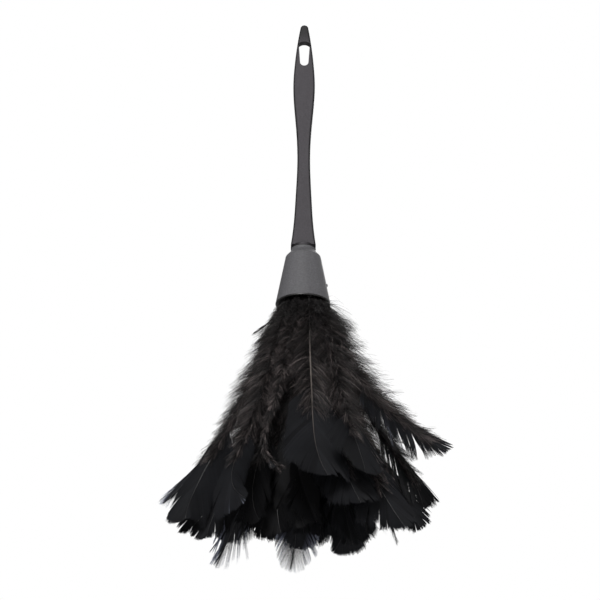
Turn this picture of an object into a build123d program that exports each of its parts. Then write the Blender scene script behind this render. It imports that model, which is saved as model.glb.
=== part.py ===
"""A hand feather duster: a flat moulded handle, a ferrule, and four tiers of feathers bound round a stem.

Millimetres. +Z runs up along the duster's axis, +X across the flat handle, and the front faces -Y.
The origin is at the top of the hanging hole, where a hook bears. Heights in the named values are measured
up from the ferrule's mouth, and row_z() turns such a height into the part's own Z.
"""

from build123d import *
from math import cos, radians, sin, sqrt, tan
import os

# Handle
HOLE_TOP = 250.2  # top of the hanging hole above the ferrule's mouth
HANDLE_TOP = 268.0
TIP_RADIUS = 3.4
TIP_TURN = 80  # degrees of the round tip on each side
FOOT_FLARE = 0.14  # slope of the paddle's sides where they meet the collar
HANDLE_BOTTOM = 50.5
# (height, half width) down the paddle, below its round tip
PADDLE_OUTLINE = [(226.0, 8.2), (207.5, 9.2), (165.0, 6.6), (130.0, 5.3), (94.0, 6.6), (HANDLE_BOTTOM, 10.1)]
# (height, half thickness) down the whole paddle
PADDLE_SIDE = [(HANDLE_TOP, 2.7), (207.5, 3.3), (130.0, 4.3), (HANDLE_BOTTOM, 7.8)]
PADDLE_EDGE = 1.7  # rounding of the long edges
HOLE_HEIGHT = 25.0
HOLE_HALF_WIDTH = 4.8
HOLE_ARCH = 2.2  # rise of the hole's top edge
HOLE_CORNER = 1.6
HOLE_BOTTOM_RADIUS = 3.6

# Collar, where the handle sits on the ferrule's neck, and the stem below it
COLLAR_RADIUS = 10.2
COLLAR_TOP = 51.4
COLLAR_BOTTOM = 49.2
COLLAR_EDGE = 0.5
STEM_RADIUS = 5.4
STEM_BOTTOM = 2.0
STEM_POINT = 1.6
RIB_DEPTH = 0.6
RIB_HEIGHTS = (31.0, 34.0, 37.0)

# Ferrule: a cone with a shoulder and a short neck
MOUTH_RADIUS = 22.0
SHOULDER_RADIUS = 14.3
SHOULDER_HEIGHT = 41.5
NECK_RADIUS = 10.0
NECK_BOTTOM = 46.6
NECK_TOP = 49.1
NECK_BORE = 5.6
WALL = 1.6
FERRULE_EDGE = 0.4
SHOULDER_ROUND = 1.6

# Ring pressed into the mouth: a sleeve with a thin flange that covers the rim
RING_HEIGHT = 5.0
RING_WALL = 1.1
FLANGE_RADIUS = 21.7
FLANGE_THICKNESS = 0.9
FLANGE_ROUND = 0.3

# Pin through the ferrule's wall, and the plug of glue around the stem
PIN_HEIGHT = 17.0
PIN_RADIUS = 0.7
PIN_HEAD_RADIUS = 1.3
PIN_HEAD_HEIGHT = 0.8
PIN_HEAD_ROUND = 0.55
PIN_LENGTH = 3.0
PLUG_BOTTOM = 28.0
PLUG_TOP = 40.0

# Binding wire round each tier's quills
WIRE_RADIUS = 0.3
WIRE_TURNS = 4
WIRE_PITCH = 0.55

CLEARANCE = 0.06  # between pieces that sit against each other

# Feathers. The bell that their tips lie on is wider across the handle's face than front to back.
DEPTH_SHARE = 0.8
QUILL_RADIUS = 0.8
SPLAY = 2  # how readily a shaft turns from its quill's direction towards the bell as it leaves the mouth
LIFT = 0.06  # every second feather of a tier lies this share further out, so that blades overlap
# Each tier: how many, first angle, (radius, height) at the quill's end, the mouth, the middle and the tip,
# the share of the room between neighbours that a blade fills, and how much shorter every second one is
TIERS = {
    "outer": dict(count=12, start=-75, end=(15.6, 15), mouth=(17.2, 0), middle=(39, -70), tip=(92, -167),
                  fill=1.0, shorter=-0.06, wire=8.0),
    "middle": dict(count=12, start=-90, end=(12.6, 19), mouth=(13.8, 0), middle=(29, -74), tip=(70, -186),
                   fill=1.0, shorter=0.05, wire=12.0),
    "inner": dict(count=10, start=-72, end=(9.7, 23), mouth=(10.5, 0), middle=(21, -74), tip=(45, -190),
                  fill=0.95, shorter=-0.04, wire=16.0),
    "core": dict(count=8, start=-90, end=(6.9, 27), mouth=(7.2, 0), middle=(12, -74), tip=(22, -198),
                 fill=0.9, shorter=0.05, wire=20.0),
}
# A blade's sections: (share of the way from the mouth to the tip, share of its full width, half thickness)
BLADE = [(0.14, 0.5, 0.7), (0.34, 0.85, 0.6), (0.6, 1.0, 0.55), (0.84, 1.0, 0.5), (0.95, 0.86, 0.45),
         (1.0, 0.6, 0.4)]

# A bare quill that has worked loose and stands out of the mouth on the left
LOOSE_QUILL_ANGLE = 180
LOOSE_QUILL = [(16.2, 5.0), (16.8, -3.0), (22.0, -10.0), (30.5, -17.0), (39.0, -25.5)]  # (radius, height)
LOOSE_QUILL_RADIUS = 0.75
LOOSE_QUILL_POINT = 0.3


def row_z(height):
    """A height above the ferrule's mouth as the part's Z."""
    return height - HOLE_TOP


def ferrule_radius(height):
    """Outer radius of the ferrule's cone at a height."""
    return MOUTH_RADIUS + (SHOULDER_RADIUS - MOUTH_RADIUS) * height / SHOULDER_HEIGHT


def rz(radius, height):
    """A point of a turned profile, drawn on the XZ plane."""
    return (radius, row_z(height))


def save(builder, name):
    """Write one node's solid as a STEP file of the same name."""
    builder.part.label = name
    export_step(builder.part, f"parts/{name}.step")


def make_handle():
    """One moulding: paddle with its hanging hole, collar, and the ribbed stem inside the ferrule."""
    tip_centre = HANDLE_TOP - TIP_RADIUS
    with BuildPart() as handle:
        with BuildSketch(Plane.XZ):
            with BuildLine():
                tip = CenterArc((0, row_z(tip_centre)), TIP_RADIUS, 90 - TIP_TURN, TIP_TURN)
                side = Spline(tip @ 0, *[rz(width, height) for height, width in PADDLE_OUTLINE],
                              tangents=[(tan(radians(90 - TIP_TURN)), -1), (FOOT_FLARE, -1)])
                Line(side @ 1, rz(0, HANDLE_BOTTOM))
                Line(rz(0, HANDLE_BOTTOM), rz(0, HANDLE_TOP))
            make_face()
            mirror(about=Plane.YZ)
        extrude(amount=COLLAR_RADIUS, both=True)
        with BuildSketch(Plane.YZ):
            with BuildLine():
                side = Spline(*[rz(half, height) for height, half in PADDLE_SIDE])
                Polyline(side @ 1, rz(0, HANDLE_BOTTOM), rz(0, HANDLE_TOP), side @ 0)
            make_face()
            mirror(about=Plane.YZ)
        extrude(amount=COLLAR_RADIUS, both=True, mode=Mode.INTERSECT)
        lengthwise = handle.edges().filter_by(
            lambda e: e.bounding_box().size.Z > TIP_RADIUS and abs((e @ 0.5).X * (e @ 0.5).Y) > 1)
        fillet(lengthwise, PADDLE_EDGE)
        with BuildSketch(Plane.XZ):
            with BuildLine():
                foot = CenterArc((0, HOLE_BOTTOM_RADIUS - HOLE_HEIGHT), HOLE_BOTTOM_RADIUS, 180, 180)
                arch = ThreePointArc((-HOLE_HALF_WIDTH, -HOLE_ARCH), (0, 0), (HOLE_HALF_WIDTH, -HOLE_ARCH))
                Line(foot @ 0, arch @ 0)
                Line(foot @ 1, arch @ 1)
            make_face()
            fillet(vertices().group_by(Axis.Y)[-1], HOLE_CORNER)
        extrude(amount=COLLAR_RADIUS, both=True, mode=Mode.SUBTRACT)
        with BuildSketch(Plane.XZ):
            with BuildLine():
                Polyline(rz(0, COLLAR_TOP), rz(COLLAR_RADIUS - COLLAR_EDGE, COLLAR_TOP),
                         rz(COLLAR_RADIUS, COLLAR_TOP - COLLAR_EDGE), rz(COLLAR_RADIUS, COLLAR_BOTTOM),
                         rz(STEM_RADIUS, COLLAR_BOTTOM), rz(STEM_RADIUS, STEM_BOTTOM + STEM_POINT),
                         rz(STEM_RADIUS - STEM_POINT, STEM_BOTTOM), rz(0, STEM_BOTTOM), close=True)
            make_face()
        revolve(axis=Axis.Z)
        with BuildSketch(Plane.XZ):
            for height in RIB_HEIGHTS:
                with Locations(rz(STEM_RADIUS, height)):
                    Circle(RIB_DEPTH)
        revolve(axis=Axis.Z)
    return handle


def pin_seat():
    """The plane on the ferrule's wall, on the right, that the pin's head sits on."""
    slope = (MOUTH_RADIUS - SHOULDER_RADIUS) / SHOULDER_HEIGHT
    return Plane(origin=(ferrule_radius(PIN_HEIGHT), 0, row_z(PIN_HEIGHT)), z_dir=(1, 0, slope))


def make_ferrule():
    """A thin turned shell, open at the mouth, with a bore in its neck for the stem and one for the pin."""
    inner_shoulder = SHOULDER_HEIGHT - WALL / 2
    with BuildPart() as ferrule:
        with BuildSketch(Plane.XZ):
            with BuildLine():
                Polyline(rz(MOUTH_RADIUS - WALL, 0), rz(MOUTH_RADIUS, 0),
                         rz(SHOULDER_RADIUS, SHOULDER_HEIGHT), rz(NECK_RADIUS, NECK_BOTTOM),
                         rz(NECK_RADIUS, NECK_TOP), rz(NECK_BORE, NECK_TOP),
                         rz(NECK_BORE, NECK_BOTTOM - WALL), rz(NECK_RADIUS - WALL, NECK_BOTTOM - WALL),
                         rz(ferrule_radius(inner_shoulder) - WALL, inner_shoulder), close=True)
            make_face()
        revolve(axis=Axis.Z)
        circles = ferrule.edges().filter_by(GeomType.CIRCLE)
        fillet(circles.filter_by(lambda e: abs(e.radius - SHOULDER_RADIUS) < CLEARANCE), SHOULDER_ROUND)
        neck_rim = ferrule.edges().filter_by(lambda e: e.geom_type == GeomType.CIRCLE
                                             and abs(e.radius - NECK_RADIUS) < CLEARANCE)
        fillet(neck_rim.sort_by(Axis.Z)[-1], FERRULE_EDGE)
        with BuildSketch(pin_seat()):
            Circle(PIN_RADIUS + CLEARANCE)
        extrude(amount=PIN_LENGTH, both=True, mode=Mode.SUBTRACT)
    return ferrule


def make_mouth_ring():
    """A flanged black sleeve that lines the mouth of the ferrule."""
    sleeve_radius = ferrule_radius(RING_HEIGHT) - WALL - CLEARANCE
    foot_radius = MOUTH_RADIUS - WALL - CLEARANCE
    with BuildPart() as ring:
        with BuildSketch(Plane.XZ):
            with BuildLine():
                Polyline(rz(sleeve_radius - RING_WALL, RING_HEIGHT), rz(sleeve_radius, RING_HEIGHT),
                         rz(foot_radius, -CLEARANCE), rz(FLANGE_RADIUS, -CLEARANCE),
                         rz(FLANGE_RADIUS, -FLANGE_THICKNESS),
                         rz(foot_radius - RING_WALL, -FLANGE_THICKNESS), close=True)
            make_face()
        revolve(axis=Axis.Z)
        outer_rim = ring.edges().filter_by(GeomType.CIRCLE).group_by(lambda e: e.radius)[-1]
        fillet(outer_rim, FLANGE_ROUND)
    return ring


def make_ferrule_pin():
    """A short pin with a round head, pushed through the hole in the ferrule's wall."""
    seat = pin_seat().offset(CLEARANCE)
    with BuildPart() as pin:
        with BuildSketch(seat):
            Circle(PIN_HEAD_RADIUS)
        extrude(amount=PIN_HEAD_HEIGHT)
        fillet(pin.faces().sort_by(Axis.X)[-1].edges(), PIN_HEAD_ROUND)
        with BuildSketch(seat):
            Circle(PIN_RADIUS)
        extrude(amount=-PIN_LENGTH)
    return pin


def make_glue_plug():
    """Glue cast round the stem and its ribs, filling the top of the ferrule."""
    inset = WALL + CLEARANCE
    with BuildPart() as plug:
        with BuildSketch(Plane.XZ):
            with BuildLine():
                Polyline(rz(STEM_RADIUS + CLEARANCE, PLUG_BOTTOM),
                         rz(ferrule_radius(PLUG_BOTTOM) - inset, PLUG_BOTTOM),
                         rz(ferrule_radius(PLUG_TOP) - inset, PLUG_TOP),
                         rz(STEM_RADIUS + CLEARANCE, PLUG_TOP), close=True)
            make_face()
            for height in RIB_HEIGHTS:
                with Locations(rz(STEM_RADIUS, height)):
                    Circle(RIB_DEPTH + CLEARANCE, mode=Mode.SUBTRACT)
        revolve(axis=Axis.Z)
    return plug


def quill_radius_at(tier, height):
    """How far from the axis a tier's quills run at a height inside the ferrule."""
    end_radius, end_height = tier["end"]
    mouth_radius, mouth_height = tier["mouth"]
    return mouth_radius + (end_radius - mouth_radius) * (height - mouth_height) / (end_height - mouth_height)


def make_binding(tier):
    """Turns of wire, side by side, round one tier's quills."""
    radius = quill_radius_at(tier, tier["wire"] - WIRE_RADIUS) + QUILL_RADIUS + CLEARANCE + WIRE_RADIUS
    with BuildPart() as binding:
        with BuildSketch(Plane.XZ):
            for turn in range(WIRE_TURNS):
                with Locations(rz(radius, tier["wire"] + turn * WIRE_PITCH)):
                    Circle(WIRE_RADIUS)
        revolve(axis=Axis.Z)
    return binding


def bell_point(radius, height, mouth_radius, angle):
    """A point of a feather's line: its depth, front to back, is a little less than its spread sideways."""
    depth = mouth_radius + DEPTH_SHARE * max(radius - mouth_radius, 0) + min(radius - mouth_radius, 0)
    return Vector(radius * cos(angle), depth * sin(angle), row_z(height))


def feather_line(tier, angle, odd):
    """The curve that a feather's shaft follows, from its end inside the ferrule to its tip."""
    reach = 1 - tier["shorter"] * odd
    spread = 1 + LIFT * odd
    (end, mouth), (middle, tip) = (tier["end"], tier["mouth"]), (tier["middle"], tier["tip"])
    mouth_radius = mouth[0]
    middle_point = bell_point(middle[0] * spread, middle[1], mouth_radius, angle)
    tip_point = bell_point(tip[0] * spread * sqrt(reach), tip[1] * reach, mouth_radius, angle)
    with BuildLine() as line:
        quill = Line(bell_point(*end, mouth_radius, angle), bell_point(*mouth, mouth_radius, angle))
        leaving = quill % 1 + (middle_point - quill @ 1).normalized() * SPLAY
        Spline(quill @ 1, middle_point, tip_point, tangents=[leaving, tip_point - middle_point])
    return line.edges()


def section_plane(curve, share, angle):
    """The plane across a feather's shaft, with its X along the bell's surface."""
    across = Vector(-sin(angle), DEPTH_SHARE * cos(angle), 0)
    direction = curve % share
    across = across - direction * across.dot(direction)
    return Plane(origin=curve @ share, x_dir=across, z_dir=direction)


def make_feather(tier, index):
    """A round quill that opens into one thin curved blade, narrowed to a blunt tip."""
    step = 360 / tier["count"]
    angle = radians(tier["start"] + index * step)
    quill, shaft = feather_line(tier, angle, index % 2)
    room = tan(radians(step / 2)) * sqrt(sin(angle) ** 2 + (DEPTH_SHARE * cos(angle)) ** 2)
    with BuildPart() as feather:
        with BuildSketch(section_plane(quill, 0, angle)):
            Ellipse(QUILL_RADIUS, QUILL_RADIUS)
        with BuildSketch(section_plane(shaft, 0, angle)):
            Ellipse(QUILL_RADIUS, QUILL_RADIUS)
        for share, width, half_thickness in BLADE:
            plane = section_plane(shaft, share, angle)
            from_axis = sqrt(plane.origin.X ** 2 + (plane.origin.Y / DEPTH_SHARE) ** 2)
            with BuildSketch(plane):
                Ellipse(from_axis * room * width * tier["fill"], half_thickness)
        loft()
    return feather


def make_loose_quill():
    """A bare quill, thinner towards its end, that curves out and down from inside the mouth."""
    angle = radians(LOOSE_QUILL_ANGLE)
    points = [(radius * cos(angle), radius * sin(angle), row_z(height)) for radius, height in LOOSE_QUILL]
    with BuildPart() as loose:
        with BuildLine():
            curve = Spline(*points)
        with BuildSketch(Plane(origin=curve @ 0, z_dir=curve % 0)):
            Circle(LOOSE_QUILL_RADIUS)
        with BuildSketch(Plane(origin=curve @ 0.5, z_dir=curve % 0.5)):
            Circle((LOOSE_QUILL_RADIUS + LOOSE_QUILL_POINT) / 2)
        with BuildSketch(Plane(origin=curve @ 1, z_dir=curve % 1)):
            Circle(LOOSE_QUILL_POINT)
        loft()
    return loose


def main():
    os.makedirs("parts", exist_ok=True)
    save(make_handle(), "handle")
    save(make_ferrule(), "ferrule")
    save(make_mouth_ring(), "mouth_ring")
    save(make_ferrule_pin(), "ferrule_pin")
    save(make_glue_plug(), "glue_plug")
    save(make_loose_quill(), "loose_quill")
    for name, tier in TIERS.items():
        save(make_binding(tier), f"binding_wire_{name}")
        for index in range(tier["count"]):
            save(make_feather(tier, index), f"feather_{name}_{index + 1:02d}")


main()
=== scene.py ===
"""The looks of a hanging feather duster: moulded handle and ferrule, and forty-two dyed feathers.

Each feather is one mesh, grown along the centre line of its CAD blade: a tapered shaft, loose curling down
on the half nearest the ferrule, and a vane of close barbs with a blunt, split end. Lengths are in metres.
"""
from math import cos, pi, radians, sin

import bpy
import numpy as np
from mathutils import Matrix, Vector


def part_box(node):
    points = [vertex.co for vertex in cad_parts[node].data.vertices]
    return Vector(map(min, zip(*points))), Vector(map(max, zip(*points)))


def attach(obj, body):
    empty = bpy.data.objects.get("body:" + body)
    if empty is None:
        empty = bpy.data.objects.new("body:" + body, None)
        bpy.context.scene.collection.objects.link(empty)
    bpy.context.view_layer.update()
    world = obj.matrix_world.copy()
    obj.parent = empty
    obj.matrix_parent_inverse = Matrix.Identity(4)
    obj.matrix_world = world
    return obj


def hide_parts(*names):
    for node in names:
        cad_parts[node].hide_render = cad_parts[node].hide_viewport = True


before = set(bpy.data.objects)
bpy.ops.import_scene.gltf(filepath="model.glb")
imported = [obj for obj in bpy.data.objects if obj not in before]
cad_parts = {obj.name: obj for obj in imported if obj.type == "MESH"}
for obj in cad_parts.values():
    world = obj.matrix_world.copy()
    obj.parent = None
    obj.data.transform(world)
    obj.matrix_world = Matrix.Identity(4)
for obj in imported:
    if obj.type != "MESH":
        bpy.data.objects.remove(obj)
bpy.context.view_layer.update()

MM = 0.001

# Camera: below the duster, looking up at it
VIEW_ELEVATION = radians(-25)
VIEW_DISTANCE = 1.2
LENS = 90
SENSOR = 36
AIM_ABOVE_MOUTH = 4 * MM
AIM_SIDEWAYS = -2.4 * MM
VIEW_ROLL = radians(0.35)
FLOOR_BELOW_CAMERA = 0.25
AMBIENT = 0.18  # how bright the white surroundings are as a light

# Lamps: (name, place, size, power). Every one aims at the middle of the duster.
LAMPS = [
    ("key", (-0.3, -1.4, 0.5), 0.6, 31),
    ("fill", (0.7, -1.25, 0.0), 0.7, 4),
    ("back", (0.3, 1.3, 0.4), 0.8, 7),
]
LAMP_AIM = (0, 0, -0.25)
OVERHEAD_FROM = (0.2, 0.7, 1.0)
OVERHEAD_STRENGTH = 1.8
OVERHEAD_WIDTH = radians(50)
FLOOR_SIZE = 12

# Heights between which the handle's colour darkens to that of its rounded tip, a painted shade
PAINTED_TIP_SHADE_SPAN = (-4 * MM, 12 * MM)

# How finely the feathers are read and made
ROOT_SLICE = 0.2 * MM  # of a CAD quill, whose middle is the root
SHAFT_POINTS = 64
SHAFT_SIDES = 8
CENTRE_DEGREE = 5  # of the curve fitted through a CAD blade
VANE_SEGMENTS = 8
DOWN_SEGMENTS = 9
BARB_SPACING = 0.42 * MM
REACH_STEPS = 80  # tried on the way out to the vane's outline

# A profile is (shares of the way along the shaft, values there). A plural name is a spread: a range in
# brackets, or else a standard deviation. Spreads of length are shares, and those of direction are radians.

# The shaft
SHAFT_TAPER = 0.8  # below 1, it stays thick for longer
SHAFT_TIP_RADIUS = 0.06 * MM
# A bare shaft's paleness is a painted highlight, faded out near the mouth, where the down covers it, and
# near the tip.
SHAFT_PAINTED_HIGHLIGHT = ([0.18, 0.3, 0.6, 0.88], [0.05, 1, 0.6, 0.1])  # how much of its paleness a bare shaft shows

# The vane
VANE_END = 0.985
VANE_ANGLE = ([0.4, 0.6, 0.8, 0.92, 1.0], [58, 46, 36, 24, 9])  # degrees that a barb leans from the shaft
SHOULDER_AT = [0.7, 0.86, 1.0, 1.2]  # places after the vane's start where the next values hold
SHOULDER = [0.72, 0.9, 1.0, 0.97, 0.97]  # width there, as a share of the half width
MEAN_LEAN = 0.86  # of a whole barb, as a share of its lean at the shaft
LONGEST_BARB = 2.6  # in half widths
SHORTEST_BARB = 2.5 * MM
ROUND_POWER = 2.4  # how squarely the vane ends
ROUND_LIMIT = 1.4  # in half widths from the shaft, past which the end falls away no further
BARB_LENGTHS = (0.95, 1.02)
CLUMP_LENGTHS = (0.9, 1.03)
ZIPPED = 1.6  # how much of their length the barbs of neighbouring clumps stay together for
BARB_BEND = 0.3  # share of its lean that a barb loses by its tip
BARB_TILT = 0.22  # how far a barb's flat side turns out of the vane
OVERLAP = 1.7  # a barb's width, in gaps between barbs
WIDEST_GAP = 1.6  # that a barb widens for, in usual gaps
LEAST_WIDTH = 0.05 * MM
HALF_THINNED = 0.6  # where in its thinning stretch a barb is down to twice its end width
END_SPAN = (0.78, 0.9)  # where the barbs change to the width that end_cover gives
CLUMP_SHADES = 0.12
BARB_SHADES = 0.08

# The down
DOWN_START = 0.005
DOWN_CROWDING = 1.15  # above 1, the barbs stand closer near the mouth
TUFT_SIZES = (4, 16)
SWELL_AT = [0, 0.1, 0.35, 0.6, 0.75]
DOWN_SWELL = [0.85, 1.0, 0.75, 0.5]  # share of the down's length there, after puff at the mouth
DOWN_LENGTHS = (0.6, 1.1)
DOWN_LEAN = ([0, 0.1, 0.3, 0.7], [50, 60, 54, 34])  # degrees from the shaft
TUFT_LEANS = 0.2
DOWN_LEANS = 0.13
DOWN_RISE = 0.25  # radians out of the feather's face
TUFT_RISES = 0.6
DOWN_RISES = 0.25
BARE_SPAN = (0.1, 0.22)  # where the down draws away from over a bare shaft
RIPPLE_PACES = (3.0, 8.0)
RIPPLES = (0.08, 0.38)
CURL = 0.75  # of a barb's tip towards the shaft's direction
CURL_POWER = 1.2
PULL = 0.58  # of a barb's tip towards the middle of its tuft
PULL_POWER = 1.5
DOWN_WIDTHS = (0.18, 0.42)  # in millimetres
DOWN_TAPER = 0.8
DOWN_LEAST_WIDTH = 0.03 * MM
FRINGE = 0.5  # narrowing at every second step of a barb, which stands for its barbules
TUFT_SHADES = 0.22
DOWN_SHADES = 0.2
DOWN_ROOT_SHADE = ([0, 0.12, 0.4], [0.35, 0.8, 1.0])
DOWN_OVER_VANE = 0.12  # how far the down goes on past the vane's start

# What a feather has unless its tier or CHARACTER says otherwise.
# gather: how far the barbs of a clump draw together, in radians. fray: the share of each barb that thins
# out, and thin: its width at the end. end_cover: the width of the barbs nearest the vane's end. bare: 1 if
# the shaft shows with no down over it, and with a painted highlight along it. thick: the shaft's radius
# where
# it starts. puff: the down's length at the mouth, as a share of its longest. down_tone: as tone, for the
# down.
USUAL = dict(gather=0.012, fray=0.2, thin=0.26, end_cover=1, bare=0.0, thick=0.65 * MM, puff=0.55,
             down_tone=0.44)

# How the feathers of a tier differ among themselves: cup is how hollow the vane is across its width
WIDTHS = (0.85, 1.12)
SIDES = (0.85, 1.1)
ROUNDS = (0.03, 0.09)
CUPS = (0.1, 0.3)
VANE_STARTS = (-0.04, 0.06)
STRETCHES = (0.97, 1.03)
TWISTS = 10  # degrees
SWAYS = 5 * MM
LIFTS = 3 * MM

# How the tiers differ. half_width: of the vane. vane_from: where along the shaft it begins. down: barbs on
# each side, down_length: of the longest. split, ruffle: how far clumps of barbs part in the vane's plane and
# out of it, in radians. clump: how many barbs go together. tone: 0 for the darkest dye, 1 for the palest.
# Barbs of a tone near 1 also get painted light: their ends are painted pale and bluish, standing for
# backlight through them.
TIERS = {
    "outer": dict(half_width=23 * MM, vane_from=0.6, down=1600, down_length=27 * MM, split=0.05, ruffle=0.05,
                  clump=(9, 34), tone=0.42),
    "middle": dict(half_width=22 * MM, vane_from=0.58, down=1500, down_length=30 * MM, split=0.07,
                   ruffle=0.1, clump=(5, 22), tone=0.38),
    "inner": dict(half_width=20 * MM, vane_from=0.56, down=1000, down_length=30 * MM, split=0.09,
                  ruffle=0.13, clump=(4, 18), tone=0.4),
    "core": dict(half_width=16 * MM, vane_from=0.52, down=500, down_length=26 * MM, split=0.1, ruffle=0.15,
                 clump=(4, 16), tone=0.35),
}

# Feathers that stand out from their tier. sway, lift: how far the tip leans round the bundle and outward.
# twist: of the vane at its tip, in degrees. stretch: of the shaft's length. sides: each side's share of
# half_width. round: how far the vane's end falls away at its edge, as a share of the shaft. down_to: where
# along the shaft the down stops. A positive twist turns the right side's vanes to the camera.
CHARACTER = {
    "feather_outer_01": dict(
        sway=-2 * MM, lift=0, twist=-4, stretch=1.0, half_width=30 * MM, vane_from=0.5, sides=(1.0, 0.8),
        round=0.06, split=0.015, tone=0.48, bare=1.0, thick=0.95 * MM),
    "feather_outer_02": dict(
        sway=-20 * MM, lift=-4 * MM, twist=8, stretch=0.92, half_width=31 * MM, round=0.12, split=0.02,
        down_length=31 * MM),
    "feather_outer_03": dict(
        sway=0, lift=36 * MM, twist=50, stretch=0.8, half_width=27 * MM, vane_from=0.48, split=0.1,
        clump=(3, 12), fray=0.4, tone=0.6, puff=1.0, down=2600, down_length=34 * MM, down_to=0.88),
    "feather_outer_04": dict(
        sway=-4 * MM, lift=2 * MM, twist=70, stretch=0.92, half_width=36 * MM, split=0.07, clump=(3, 14),
        tone=0.3, puff=1.1, down=2600, down_length=34 * MM, down_to=0.84),
    "feather_outer_05": dict(
        sway=0, lift=0, twist=60, stretch=1.0, half_width=30 * MM, split=0.08, clump=(3, 14), tone=0.3),
    "feather_outer_09": dict(
        sway=6 * MM, lift=23 * MM, twist=-70, stretch=0.95, half_width=30 * MM, split=0.1, clump=(3, 12),
        fray=0.7, thin=0.14, tone=1.0, puff=0.2),
    "feather_outer_10": dict(
        sway=16 * MM, lift=-14 * MM, twist=-60, stretch=1.06, half_width=22 * MM, split=0.03, tone=0.5,
        puff=0.15, down=2200, down_length=23 * MM),
    "feather_outer_11": dict(
        sway=36 * MM, lift=-4 * MM, twist=0, stretch=1.12, half_width=19 * MM, split=0.02, tone=0.6,
        puff=0.3),
    "feather_outer_12": dict(
        sway=0, lift=-12 * MM, twist=0, stretch=0.88, half_width=7 * MM, vane_from=0.93, down_tone=0.5,
        down_length=15 * MM),
    "feather_middle_01": dict(
        sway=4 * MM, lift=-24 * MM, twist=8, stretch=1.04, half_width=20 * MM, tone=-0.2, down_tone=0.1),
    "feather_middle_02": dict(sway=6 * MM, lift=8 * MM, twist=20, stretch=1.03, down_to=0.85),
    "feather_middle_03": dict(
        sway=0, lift=16 * MM, twist=45, stretch=1.05, half_width=29 * MM, split=0.09, down=2800,
        down_length=36 * MM, down_to=0.8),
    "feather_middle_04": dict(
        sway=0, lift=14 * MM, twist=65, stretch=1.05, half_width=29 * MM, split=0.09, down=2600,
        down_to=0.8),
    "feather_middle_05": dict(
        sway=0, lift=12 * MM, twist=30, stretch=1.0, split=0.14, clump=(2, 9), fray=0.4),
    "feather_middle_09": dict(
        sway=-4 * MM, lift=6 * MM, twist=-10, stretch=1.09, half_width=33 * MM, split=0.03, fray=0.7,
        thin=0.32, end_cover=0.6, tone=1.0),
    "feather_middle_10": dict(
        sway=0, lift=14 * MM, twist=-60, stretch=1.06, half_width=22 * MM, down=2400, down_to=0.8),
    "feather_middle_11": dict(sway=0, lift=4 * MM, twist=-40, stretch=1.08, half_width=22 * MM),
    "feather_middle_12": dict(
        sway=0, lift=-14 * MM, twist=0, stretch=1.08, half_width=22 * MM, tone=-0.2, down_tone=0.1),
    "feather_inner_01": dict(tone=-0.1),
    "feather_inner_04": dict(stretch=0.94),
    "feather_inner_05": dict(stretch=0.95),
    "feather_inner_06": dict(
        sway=-4 * MM, lift=2 * MM, twist=0, stretch=1.04, half_width=20 * MM, split=0.07, clump=(3, 9),
        fray=0.95, thin=0.3, end_cover=0.5, tone=1.0),
    "feather_inner_10": dict(tone=-0.1),
    "feather_core_05": dict(stretch=0.9),
}

# The few stiff barbs left on the loose quill
LOOSE_BARBS = dict(half_width=3.4 * MM, vane_from=0.2, sides=(1, 1), round=0.02, clump=(3, 9), split=0.1,
                   ruffle=0.2, gather=0.01, fray=0.3, thin=0.3, end_cover=1, cup=0.1, tone=0.2)

# The first feather's seed, and the loose quill's
FIRST_SEED = 100
LOOSE_SEED = 99


# ---------------------------------------------------------------- materials

def material(name):
    """A new node material, with its tree and its shader."""
    made = bpy.data.materials.new(name)
    made.use_nodes = True
    return made, made.node_tree, made.node_tree.nodes["Principled BSDF"]


def ramp(tree, source, stops):
    """A colour ramp that reads a value output."""
    node = tree.nodes.new("ShaderNodeValToRGB")
    elements = node.color_ramp.elements
    while len(elements) < len(stops):
        elements.new(0.5)
    for element, (position, colour) in zip(elements, stops):
        element.position = position
        element.color = (*colour, 1)
    tree.links.new(source, node.inputs["Fac"])
    return node.outputs["Color"]


def spread(tree, source, low, high, from_low=0.0, from_high=1.0):
    """A value output stretched between two numbers."""
    node = tree.nodes.new("ShaderNodeMapRange")
    node.inputs["From Min"].default_value = from_low
    node.inputs["From Max"].default_value = from_high
    node.inputs["To Min"].default_value = low
    node.inputs["To Max"].default_value = high
    tree.links.new(source, node.inputs["Value"])
    return node.outputs["Result"]


def blend_colours(tree, kind, share, first, second):
    """Two colour outputs mixed. share is a number or an output."""
    node = tree.nodes.new("ShaderNodeMix")
    node.data_type = "RGBA"
    node.blend_type = kind
    if isinstance(share, (int, float)):
        node.inputs["Factor"].default_value = share
    else:
        tree.links.new(share, node.inputs["Factor"])
    for socket, value in ((node.inputs[6], first), (node.inputs[7], second)):
        if isinstance(value, tuple):
            socket.default_value = (*value, 1)
        else:
            tree.links.new(value, socket)
    return node.outputs[2]


def noise(tree, scale, detail=4.0, roughness=0.55, stretch=None):
    """A noise value in object space, stretched along an axis if asked."""
    place = tree.nodes.new("ShaderNodeTexCoord").outputs["Object"]
    if stretch:
        mapping = tree.nodes.new("ShaderNodeMapping")
        mapping.inputs["Scale"].default_value = stretch
        tree.links.new(place, mapping.inputs["Vector"])
        place = mapping.outputs["Vector"]
    node = tree.nodes.new("ShaderNodeTexNoise")
    node.inputs["Scale"].default_value = scale
    node.inputs["Detail"].default_value = detail
    node.inputs["Roughness"].default_value = roughness
    tree.links.new(place, node.inputs["Vector"])
    return node.outputs["Fac"]


def bump(tree, shader, height, distance, strength):
    """Fine relief from a value output."""
    node = tree.nodes.new("ShaderNodeBump")
    node.inputs["Distance"].default_value = distance
    node.inputs["Strength"].default_value = strength
    tree.links.new(height, node.inputs["Height"])
    tree.links.new(node.outputs["Normal"], shader.inputs["Normal"])


def attribute(tree, name):
    """A value kept on the feathers' points: along each barb, or its shade."""
    node = tree.nodes.new("ShaderNodeAttribute")
    node.attribute_name = name
    return node.outputs["Fac"]


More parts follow.
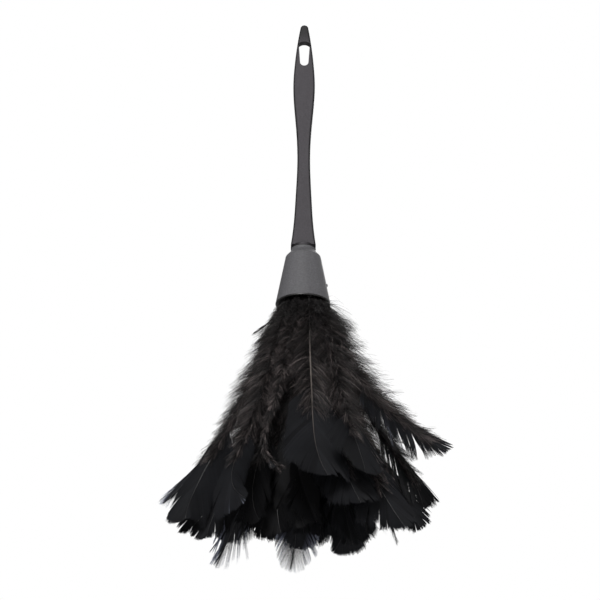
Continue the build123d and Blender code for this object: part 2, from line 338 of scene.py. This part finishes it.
def plastic(name, dark, light, rough, painted_side_shading=1.0, tip=1.0):
    """A moulded plastic with a spark-eroded grain, faint flow marks and scuffs.

    The last two arguments: the colour of the surfaces that face sideways, and of the rounded tip above the
    hanging hole, as shares of the front's. Both are painted shading: a painted shade below 1, a painted
    sheen above 1.
    """
    made, tree, shader = material(name)
    flow = noise(tree, 14, detail=3, stretch=(1, 1, 0.12))
    scuffs = noise(tree, 260, detail=6, roughness=0.7, stretch=(1, 1, 0.25))
    grain = noise(tree, 950, detail=3, roughness=0.7)
    colour = ramp(tree, flow, [(0.3, dark), (0.72, light)])
    worn = ramp(tree, scuffs, [(0.62, (0, 0, 0)), (0.78, (0.02, 0.02, 0.02))])
    colour = blend_colours(tree, "ADD", 1.0, colour, worn)
    colour = blend_colours(tree, "MULTIPLY", 1.0, colour, ramp(tree, grain, [
        (0.35, (0.8, 0.8, 0.8)), (0.65, (1.25, 1.25, 1.25))]))
    # Painted shading: surfaces that face sideways along x get their colour scaled, darker as painted shade
    # or lighter as a painted sheen.
    normal = tree.nodes.new("ShaderNodeSeparateXYZ")
    tree.links.new(tree.nodes.new("ShaderNodeNewGeometry").outputs["Normal"], normal.inputs["Vector"])
    side = tree.nodes.new("ShaderNodeMath")
    side.operation = "ABSOLUTE"
    tree.links.new(normal.outputs["X"], side.inputs[0])
    colour = blend_colours(tree, "MULTIPLY", 1.0, colour, ramp(tree, side.outputs["Value"], [
        (0.12, (1, 1, 1)), (0.5, (painted_side_shading, painted_side_shading, painted_side_shading))]))
    # Painted shade: the colour darkens up towards the rounded tip above the hanging hole.
    place = tree.nodes.new("ShaderNodeSeparateXYZ")
    tree.links.new(tree.nodes.new("ShaderNodeTexCoord").outputs["Object"], place.inputs["Vector"])
    height = spread(tree, place.outputs["Z"], 0, 1, *PAINTED_TIP_SHADE_SPAN)
    colour = blend_colours(tree, "MULTIPLY", 1.0, colour, ramp(tree, height, [
        (0.0, (1, 1, 1)), (0.8, (tip, tip, tip))]))
    tree.links.new(colour, shader.inputs["Base Color"])
    tree.links.new(spread(tree, scuffs, *rough), shader.inputs["Roughness"])
    shader.inputs["Specular IOR Level"].default_value = 0.28
    bump(tree, shader, grain, 0.00012, 0.5)
    return made


def gloss_black(name):
    """Half-gloss black with a little dust."""
    made, tree, shader = material(name)
    dust = noise(tree, 900, detail=5)
    tree.links.new(ramp(tree, dust, [(0.4, (0.003, 0.003, 0.003)), (0.8, (0.02, 0.019, 0.018))]),
                   shader.inputs["Base Color"])
    tree.links.new(spread(tree, dust, 0.3, 0.55), shader.inputs["Roughness"])
    bump(tree, shader, dust, 0.00005, 0.2)
    return made


def steel(name, tone):
    """Drawn metal, with marks along the draw."""
    made, tree, shader = material(name)
    shader.inputs["Metallic"].default_value = 1.0
    drawn = noise(tree, 1500, detail=4, stretch=(1, 1, 6))
    tree.links.new(ramp(tree, drawn, [(0.3, tuple(0.6 * c for c in tone)), (0.7, tone)]),
                   shader.inputs["Base Color"])
    tree.links.new(spread(tree, drawn, 0.28, 0.5), shader.inputs["Roughness"])
    return made


def glue(name):
    """Cloudy amber glue with a lumpy surface."""
    made, tree, shader = material(name)
    clouds = noise(tree, 180, detail=5)
    tree.links.new(ramp(tree, clouds, [(0.3, (0.42, 0.33, 0.18)), (0.75, (0.66, 0.56, 0.38))]),
                   shader.inputs["Base Color"])
    shader.inputs["Roughness"].default_value = 0.35
    bump(tree, shader, clouds, 0.0006, 0.6)
    return made


def quill_horn(name):
    """A dyed horny shaft with lengthwise streaks, black on most. A bare shaft is painted a paler brown along
    its middle: a painted highlight.
    """
    made, tree, shader = material(name)
    streaks = noise(tree, 900, detail=5, stretch=(1, 1, 0.05))
    # Painted highlight: a high shade value paints the horn a paler brown.
    colour = ramp(tree, attribute(tree, "shade"), [
        (0.0, (0.006, 0.0055, 0.0055)), (1.0, (0.13, 0.112, 0.1))])
    tree.links.new(blend_colours(tree, "MULTIPLY", 0.6, colour, ramp(tree, streaks, [
        (0.3, (0.4, 0.4, 0.4)), (0.7, (1, 1, 1))])), shader.inputs["Base Color"])
    tree.links.new(spread(tree, streaks, 0.25, 0.45), shader.inputs["Roughness"])
    bump(tree, shader, streaks, 0.00004, 0.4)
    return made


def vane_black(name):
    """Close barbs: blue-black and satin. On the palest barbs the ends are painted paler and bluer, a painted
    light that stands for light shining through thin barb ends.
    """
    made, tree, shader = material(name)
    shade, along = attribute(tree, "shade"), attribute(tree, "along")
    patches = noise(tree, 55, detail=4)
    base = ramp(tree, shade, [(0.0, (0.0022, 0.0022, 0.0026)), (0.6, (0.007, 0.0074, 0.0088)),
                              (1.0, (0.013, 0.0136, 0.016))])
    dyed = blend_colours(tree, "MULTIPLY", 0.55, base, ramp(tree, patches, [
        (0.3, (0.55, 0.55, 0.6)), (0.7, (1.3, 1.25, 1.2))]))
    # Painted backlight: the ends of the palest barbs are painted pale and bluish, standing for light through
    # thin barb ends.
    ends = ramp(tree, along, [(0.45, (0, 0, 0)), (0.75, (0.1, 0.108, 0.145)), (1.0, (0.3, 0.325, 0.4))])
    painted_backlit_ends = blend_colours(tree, "MIX", spread(tree, shade, 0.0, 1.0, 0.85, 1.0), (0.0, 0.0, 0.0), ends)
    tree.links.new(blend_colours(tree, "ADD", 1.0, dyed, painted_backlit_ends), shader.inputs["Base Color"])
    tree.links.new(spread(tree, patches, 0.6, 0.75), shader.inputs["Roughness"])
    shader.inputs["Specular IOR Level"].default_value = 0.09
    bump(tree, shader, noise(tree, 2600, detail=2), 0.00008, 0.5)
    return made


def down_brown(name):
    """Loose down: brown-black at the root of each barb and a dusty grey-brown at its tip."""
    made, tree, shader = material(name)
    shade, along = attribute(tree, "shade"), attribute(tree, "along")
    strand = ramp(tree, shade, [(0.0, (0.004, 0.0033, 0.0033)), (0.45, (0.014, 0.0115, 0.0115)),
                                (0.75, (0.055, 0.045, 0.044)), (1.0, (0.2, 0.168, 0.162))])
    tipped = blend_colours(tree, "MULTIPLY", 1.0, strand, ramp(tree, along, [
        (0.0, (0.35, 0.35, 0.35)), (0.6, (1.0, 1.0, 1.0)), (1.0, (0.75, 0.75, 0.75))]))
    fluff = noise(tree, 420, detail=4)
    tree.links.new(blend_colours(tree, "MULTIPLY", 0.4, tipped, ramp(tree, fluff, [
        (0.3, (0.5, 0.5, 0.5)), (0.7, (1.3, 1.3, 1.3))])), shader.inputs["Base Color"])
    tree.links.new(spread(tree, fluff, 0.45, 0.7), shader.inputs["Roughness"])
    shader.inputs["Specular IOR Level"].default_value = 0.3
    return made


# ---------------------------------------------------------------- feather geometry

def centre_line(node, mouth_z):
    """A CAD feather's shaft from the mouth to its tip, evenly spaced, and its root inside the ferrule."""
    mesh = node.data
    places = np.empty(len(mesh.vertices) * 3)
    mesh.vertices.foreach_get("co", places)
    places = places.reshape(-1, 3)
    drop = mouth_z - places[:, 2]
    blade = drop > -MM
    falls = np.linspace(0, drop.max(), 4 * SHAFT_POINTS)
    fits = [np.polyfit(drop[blade], places[blade, axis], CENTRE_DEGREE) for axis in (0, 1)]
    line = np.column_stack([*(np.polyval(fit, falls) for fit in fits), mouth_z - falls])
    top = places[places[:, 2] > places[:, 2].max() - ROOT_SLICE].mean(axis=0)
    return even(line, SHAFT_POINTS), top


def even(line, count):
    """A polyline's points spaced evenly along it."""
    reach = np.concatenate([[0], np.cumsum(np.linalg.norm(np.diff(line, axis=0), axis=1))])
    wanted = np.linspace(0, reach[-1], count)
    return np.column_stack([np.interp(wanted, reach, line[:, axis]) for axis in range(3)])


def unit(vectors):
    """Vectors scaled to length 1."""
    return vectors / np.maximum(np.linalg.norm(vectors, axis=-1, keepdims=True), 1e-12)


class Shaft:
    """A feather's bent shaft, with the directions along it, across the vane and out of its face."""

    def __init__(self, line, twist, sway, lift, stretch):
        share = np.linspace(0, 1, len(line))[:, None]
        line = line[:1] + (line - line[:1]) * stretch
        outward = unit(line[-1] * (1, 1, 0))
        sideways = np.cross((0, 0, 1), outward)
        line = line + sideways * sway * share ** 2 + outward * lift * share ** 3
        self.points = even(line, len(line))
        self.along = unit(np.gradient(self.points, axis=0))
        face = outward - self.along * (self.along @ outward)[:, None]
        face = unit(face)
        across = np.cross(self.along, face)
        turn = radians(twist) * share
        self.face = face * np.cos(turn) + across * np.sin(turn)
        self.across = np.cross(self.along, self.face)
        self.length = np.linalg.norm(np.diff(self.points, axis=0), axis=1).sum()

    def at(self, field, shares):
        """A field of the shaft's, such as its points, at shares of the way along it."""
        rows = np.linspace(0, 1, len(field))
        return np.column_stack([np.interp(shares, rows, field[:, axis]) for axis in range(3)])


class Sheaf:
    """Strips and tubes collected into one mesh, with two values on every point."""

    def __init__(self):
        self.points, self.faces, self.along, self.shade, self.slots = [], [], [], [], []
        self.count = 0

    def add(self, points, faces, along, shade, slot):
        """Take in four-sided faces that share a material slot."""
        self.points.append(points.reshape(-1, 3))
        self.faces.append(faces.reshape(-1, 4) + self.count)
        self.along.append(along.ravel())
        self.shade.append(shade.ravel())
        self.slots.append(np.full(faces.size // 4, slot))
        self.count += points.size // 3

    def ribbons(self, middle, side, width, shade, slot):
        """One strip for each row of middle: points (barb, step, xyz), and its width at each step."""
        barbs, steps = middle.shape[:2]
        half = side * width[..., None] / 2
        points = np.stack([middle - half, middle + half], axis=2)
        first = np.arange(barbs)[:, None] * steps * 2 + np.arange(steps - 1)[None, :] * 2
        faces = np.stack([first, first + 1, first + 3, first + 2], axis=-1)
        along = np.broadcast_to(np.linspace(0, 1, steps)[None, :, None], points.shape[:3])
        shade = np.broadcast_to(shade[:, None, None], points.shape[:3])
        self.add(points, faces, along.copy(), shade.copy(), slot)

    def tube(self, middle, side, up, radius, shade, slot):
        """A closed round tube along a line."""
        turns = np.linspace(0, 2 * pi, SHAFT_SIDES, endpoint=False)
        turns = turns[None, :, None]
        ring = np.cos(turns) * side[:, None, :] + np.sin(turns) * up[:, None, :]
        points = middle[:, None, :] + ring * radius[:, None, None]
        row = np.arange(len(middle) - 1)[:, None] * SHAFT_SIDES
        here = np.arange(SHAFT_SIDES)[None, :]
        after = (here + 1) % SHAFT_SIDES
        below = row + SHAFT_SIDES
        faces = np.stack([row + here, row + after, below + after, below + here], axis=-1)
        along = np.broadcast_to(np.linspace(0, 1, len(middle))[:, None], points.shape[:2])
        shade = np.broadcast_to(shade[:, None], points.shape[:2])
        self.add(points, faces, along.copy(), shade.copy(), slot)

    def to_object(self, name, materials):
        """The mesh object of everything collected."""
        points = np.concatenate(self.points)
        faces = np.concatenate(self.faces)
        mesh = bpy.data.meshes.new(name)
        mesh.vertices.add(len(points))
        mesh.vertices.foreach_set("co", points.ravel())
        mesh.loops.add(faces.size)
        mesh.loops.foreach_set("vertex_index", faces.ravel())
        mesh.polygons.add(len(faces))
        mesh.polygons.foreach_set("loop_start", np.arange(len(faces)) * 4)
        mesh.polygons.foreach_set("loop_total", np.full(len(faces), 4))
        mesh.polygons.foreach_set("material_index", np.concatenate(self.slots))
        mesh.polygons.foreach_set("use_smooth", np.full(len(faces), True))
        mesh.update(calc_edges=True)
        for key, values in (("along", self.along), ("shade", self.shade)):
            mesh.attributes.new(key, "FLOAT", "POINT").data.foreach_set("value", np.concatenate(values))
        for made in materials:
            mesh.materials.append(made)
        made = bpy.data.objects.new(name, mesh)
        bpy.context.scene.collection.objects.link(made)
        return made


def clumps(draw, count, least, most):
    """Which clump each of a row of barbs belongs to, and its place from -1 to 1 across the clump."""
    group = np.zeros(count, int)
    place = np.zeros(count)
    start = 0
    while start < count:
        size = draw.integers(least, most)
        end = min(start + size, count)
        group[start:end] = group[start - 1] + 1 if start else 0
        place[start:end] = np.linspace(-1, 1, end - start) if end - start > 1 else 0
        start = end
    return group, place


def grow_shaft(sheaf, shaft, root, thick, shade):
    """The bare quill up into the ferrule, and the shaft down to a fine tip."""
    line = np.vstack([root[None], shaft.points])
    side = np.vstack([shaft.across[:1], shaft.across])
    up = np.vstack([shaft.face[:1], shaft.face])
    share = np.linspace(0, 1, len(line))
    radius = thick * (1 - share) ** SHAFT_TAPER + SHAFT_TIP_RADIUS
    # The paleness of a bare shaft is a painted highlight that fades near the mouth and the tip.
    sheaf.tube(line, side, up, radius, shade * np.interp(share, *SHAFT_PAINTED_HIGHLIGHT), 0)


def barb_lines(shaft, roots, heading, size, segments):
    """Barbs as lines of points: each starts on the shaft and steps along its own heading."""
    strides = heading[:, 1:] * (size / segments)[:, None, None]
    steps = np.concatenate([np.zeros((len(roots), 1, 3)), np.cumsum(strides, axis=1)], axis=1)
    return shaft.at(shaft.points, roots)[:, None, :] + steps


def barb_lengths(roots, angle, length, width, spec):
    """How long each barb is when it ends on the vane's outline: a rounded shoulder and a blunt end."""
    reach = np.linspace(0, LONGEST_BARB * spec["half_width"], REACH_STEPS)[None, :]
    out = reach * np.sin(MEAN_LEAN * angle)[:, None]
    on = roots[:, None] * length + reach * np.cos(MEAN_LEAN * angle)[:, None]
    shoulder = np.interp(on / length, [spec["vane_from"], *SHOULDER_AT], SHOULDER)
    end = length * (1 - spec["round"] * np.clip(out / width, 0, ROUND_LIMIT) ** ROUND_POWER)
    inside = (out <= shoulder * width) & (on <= end)
    return np.maximum(reach[0, np.argmin(inside, axis=1)], SHORTEST_BARB)


def barb_widths(middle, side):
    """Each barb's width at each step, so that it just overlaps the barb beside it."""
    gap = np.abs(np.einsum("bsk,bsk->bs", np.gradient(middle, axis=0), side))
    usual_gap = np.median(gap, axis=0)[None, :] * np.ones((len(middle), 1))
    return np.minimum(gap, WIDEST_GAP * usual_gap) * OVERLAP + LEAST_WIDTH


def grow_vane(sheaf, shaft, draw, spec):
    """Both sides of the vane, each a row of close barbs that reach the feather's outline."""
    count = int(shaft.length * (VANE_END - spec["vane_from"]) / BARB_SPACING)
    roots = np.linspace(spec["vane_from"], VANE_END, count)
    angle = np.radians(np.interp(roots, *VANE_ANGLE))
    steps = np.linspace(0, 1, VANE_SEGMENTS + 1)
    zipped = steps[None, :] ** ZIPPED
    solid, thin = 1 - spec["fray"], spec["thin"]
    half_thinned = solid + HALF_THINNED * spec["fray"]
    taper = np.interp(steps, [0, solid, half_thinned, 1.0], [1, 1, 2 * thin, thin])[None, :]
    taper = taper * np.interp(roots, END_SPAN, [1, spec["end_cover"]])[:, None]
    for hand, width in zip((-1, 1), spec["sides"]):
        size = barb_lengths(roots, angle, shaft.length, spec["half_width"] * width, spec)
        size = size * draw.uniform(*BARB_LENGTHS, count)
        group, place = clumps(draw, count, *spec["clump"])
        groups = group.max() + 1
        lean = draw.normal(0, spec["split"], groups)[group] - place * spec["gather"]
        rise = draw.normal(0, spec["ruffle"], groups)[group]
        size = size * draw.uniform(*CLUMP_LENGTHS, groups)[group]
        bend = angle[:, None] * (1 - BARB_BEND * steps[None, :]) + lean[:, None] * zipped
        along, across, face = (shaft.at(field, roots)[:, None, :]
                               for field in (shaft.along, shaft.across, shaft.face))
        heading = np.cos(bend)[..., None] * along + hand * np.sin(bend)[..., None] * across
        heading = unit(heading + rise[:, None, None] * zipped[..., None] * face)
        middle = barb_lines(shaft, roots, heading, size, VANE_SEGMENTS)
        lateral = np.einsum("bsk,bk->bs", middle - middle[:, :1], across[:, 0])
        middle = middle - face * (spec["cup"] * lateral ** 2 / spec["half_width"])[..., None]
        side = unit(unit(np.cross(heading, face)) + face * (BARB_TILT * hand))
        shade = draw.normal(spec["tone"], CLUMP_SHADES, groups)[group] + draw.normal(0, BARB_SHADES, count)
        sheaf.ribbons(middle, side, barb_widths(middle, side) * taper, np.clip(shade, 0, 1), 1)


def grow_down(sheaf, shaft, draw, spec):
    """Loose barbs down both sides of the shaft, gathered into curling tufts that also cover its face."""
    steps = np.linspace(0, 1, DOWN_SEGMENTS + 1)
    curling = CURL * steps ** CURL_POWER
    pull = (PULL * steps ** PULL_POWER)[None, :, None]
    fringe = np.where(np.arange(DOWN_SEGMENTS + 1) % 2 == 0, 1.0, FRINGE)
    count = spec["down"]
    for hand in (-1, 1):
        roots = np.sort(draw.uniform(DOWN_START, 1, count) ** DOWN_CROWDING * spec["down_to"])
        group = clumps(draw, count, *TUFT_SIZES)[0]
        groups = group.max() + 1
        swell = np.interp(roots, SWELL_AT, [spec["puff"], *DOWN_SWELL])
        size = spec["down_length"] * swell * draw.uniform(*DOWN_LENGTHS, count)
        lean = np.radians(np.interp(roots, *DOWN_LEAN))
        lean = lean + draw.normal(0, TUFT_LEANS, groups)[group] + draw.normal(0, DOWN_LEANS, count)
        cover = 1 - spec["bare"] * np.interp(roots, BARE_SPAN, [0, 1])
        rise = cover * (DOWN_RISE + draw.normal(0, TUFT_RISES, groups)[group])
        rise = rise + draw.normal(0, DOWN_RISES, count)
        along, across, face = (shaft.at(field, roots) for field in (shaft.along, shaft.across, shaft.face))
        sideways = np.cos(rise)[:, None] * across * hand + np.sin(rise)[:, None] * face
        start = np.cos(lean)[:, None] * along + np.sin(lean)[:, None] * sideways
        phase = draw.uniform(0, 2 * pi, (count, 1, 3))
        pace = draw.uniform(*RIPPLE_PACES, (count, 1, 3))
        ripple = np.sin(phase + pace * steps[None, :, None]) * draw.uniform(*RIPPLES, (count, 1, 1))
        curl = along[:, None, :] * curling[None, :, None]
        heading = unit(start[:, None, :] + curl + ripple)
        middle = barb_lines(shaft, roots, heading, size, DOWN_SEGMENTS)
        guide = np.stack([middle[group == g].mean(axis=0) for g in range(groups)])[group]
        middle = middle * (1 - pull) + guide * pull
        side = unit(np.cross(heading, draw.normal(0, 1, (count, 1, 3))))
        width = draw.uniform(*DOWN_WIDTHS, count)[:, None] * MM
        width = width * (1 - DOWN_TAPER * steps[None, :]) * fringe[None, :] + DOWN_LEAST_WIDTH
        shade = draw.normal(spec["down_tone"], TUFT_SHADES, groups)[group]
        shade = (shade + draw.normal(0, DOWN_SHADES, count)) * np.interp(roots, *DOWN_ROOT_SHADE)
        sheaf.ribbons(middle, side, width, np.clip(shade, 0, 1), 2)


def feather(name, node, tier, seed, materials, mouth_z):
    """One whole feather along its CAD blade."""
    draw = np.random.default_rng(seed)
    spec = dict(USUAL, **TIERS[tier])
    spec.update(half_width=spec["half_width"] * draw.uniform(*WIDTHS), sides=draw.uniform(*SIDES, 2),
                round=draw.uniform(*ROUNDS), cup=draw.uniform(*CUPS),
                vane_from=spec["vane_from"] + draw.uniform(*VANE_STARTS))
    bent = dict(twist=draw.normal(0, TWISTS), sway=draw.normal(0, SWAYS), lift=draw.normal(0, LIFTS),
                stretch=draw.uniform(*STRETCHES))
    own = CHARACTER.get(node.name, {})
    bent.update((key, own[key]) for key in bent if key in own)
    spec.update((key, own[key]) for key in own if key not in bent)
    spec.setdefault("down_to", spec["vane_from"] + DOWN_OVER_VANE)
    line, root = centre_line(node, mouth_z)
    shaft = Shaft(line, **bent)
    sheaf = Sheaf()
    grow_shaft(sheaf, shaft, root, spec["thick"], spec["bare"])
    grow_vane(sheaf, shaft, draw, spec)
    grow_down(sheaf, shaft, draw, spec)
    made = sheaf.to_object(name, materials)
    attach(made, "root")
    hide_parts(node.name)


def loose_barbs(node, seed, materials, mouth_z):
    """The few stiff black barbs still left on the loose quill."""
    draw = np.random.default_rng(seed)
    shaft = Shaft(centre_line(node, mouth_z)[0], twist=0, sway=0, lift=0, stretch=1)
    sheaf = Sheaf()
    grow_vane(sheaf, shaft, draw, LOOSE_BARBS)
    made = sheaf.to_object("loose_quill_barbs", materials)
    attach(made, "root")


def dress(node, made):
    """Give a CAD node its own material."""
    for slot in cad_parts[node].material_slots:
        slot.material = made


# ---------------------------------------------------------------- studio

def soft_light(name, place, aim, size, power):
    """A round area lamp that aims at a point."""
    data = bpy.data.lights.new(name, "AREA")
    data.shape = "DISK"
    data.size = size
    data.energy = power
    lamp = bpy.data.objects.new(name, data)
    lamp.location = place
    lamp.rotation_euler = (Vector(aim) - Vector(place)).to_track_quat("-Z", "Y").to_euler()
    bpy.context.scene.collection.objects.link(lamp)


def overhead(name, place, strength, width):
    """A wide, distant light that brightens the floor and the duster's back."""
    data = bpy.data.lights.new(name, "SUN")
    data.energy = strength
    data.angle = width
    lamp = bpy.data.objects.new(name, data)
    lamp.rotation_euler = (-Vector(place)).to_track_quat("-Z", "Y").to_euler()
    bpy.context.scene.collection.objects.link(lamp)


def studio(mouth_z):
    """White surroundings, a pale floor well below, soft lamps, and the camera below the duster."""
    scene = bpy.context.scene
    scene.view_settings.view_transform = "Standard"
    world = bpy.data.worlds.new("studio")
    scene.world = world
    world.use_nodes = True
    tree = world.node_tree
    seen = tree.nodes.new("ShaderNodeLightPath").outputs["Is Camera Ray"]
    tree.links.new(spread(tree, seen, AMBIENT, 1.0), tree.nodes["Background"].inputs["Strength"])
    tree.nodes["Background"].inputs["Color"].default_value = (1, 1, 1, 1)
    aim = Vector((AIM_SIDEWAYS, 0, mouth_z + AIM_ABOVE_MOUTH))
    away = Vector((0, -cos(VIEW_ELEVATION), sin(VIEW_ELEVATION)))
    data = bpy.data.cameras.new("camera")
    data.lens = LENS
    data.sensor_width = SENSOR
    camera = bpy.data.objects.new("camera", data)
    camera.location = aim + away * VIEW_DISTANCE
    camera.rotation_euler = (-away).to_track_quat("-Z", "Y").to_euler()
    camera.rotation_euler.rotate_axis("Z", VIEW_ROLL)
    scene.collection.objects.link(camera)
    scene.camera = camera
    for name, place, size, power in LAMPS:
        soft_light(name, place, LAMP_AIM, size, power)
    overhead("overhead", OVERHEAD_FROM, OVERHEAD_STRENGTH, OVERHEAD_WIDTH)
    floor_z = camera.location.z - FLOOR_BELOW_CAMERA
    bpy.ops.mesh.primitive_plane_add(size=FLOOR_SIZE, location=(0, 0, floor_z))
    floor = bpy.context.object
    floor.name = "floor"
    made, tree, shader = material("floor_pale")
    tree.links.new(ramp(tree, noise(tree, 3, detail=3), [(0.2, (0.8, 0.8, 0.8)), (0.8, (0.84, 0.84, 0.84))]),
                   shader.inputs["Base Color"])
    shader.inputs["Roughness"].default_value = 0.8
    floor.data.materials.append(made)


# ---------------------------------------------------------------- the duster

def build():
    """The studio, the materials of the nodes that stay, and a grown feather for each CAD feather."""
    mouth_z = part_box("ferrule")[0].z
    studio(mouth_z)
    # The handle's sides and tip are darkened as painted shade; the ferrule's sides are lightened as a
    # painted sheen.
    dress("handle", plastic("handle_charcoal", (0.017, 0.0148, 0.0172), (0.028, 0.0245, 0.029),
                            (0.58, 0.72), painted_side_shading=0.25, tip=0.2))
    dress("ferrule", plastic("ferrule_grey", (0.05, 0.049, 0.052), (0.062, 0.061, 0.065),
                             (0.55, 0.7), painted_side_shading=1.2))
    dress("mouth_ring", gloss_black("ring_black"))
    dress("ferrule_pin", steel("pin_dark", (0.12, 0.12, 0.13)))
    dress("glue_plug", glue("glue_amber"))
    horn = quill_horn("quill_horn")
    dress("loose_quill", gloss_black("loose_quill_black"))
    wire = steel("wire_tinned", (0.5, 0.5, 0.5))
    feathers = [horn, vane_black("vane_black"), down_brown("down_brown")]
    loose_barbs(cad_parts["loose_quill"], LOOSE_SEED, feathers, mouth_z)
    for node_name in sorted(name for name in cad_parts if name.startswith("binding_wire")):
        dress(node_name, wire)
    feather_names = sorted(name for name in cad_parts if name.startswith("feather"))
    for seed, node_name in enumerate(feather_names, FIRST_SEED):
        tier = node_name.split("_")[1]
        plume = node_name.replace("feather", "plume")
        feather(plume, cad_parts[node_name], tier, seed, feathers, mouth_z)


build()
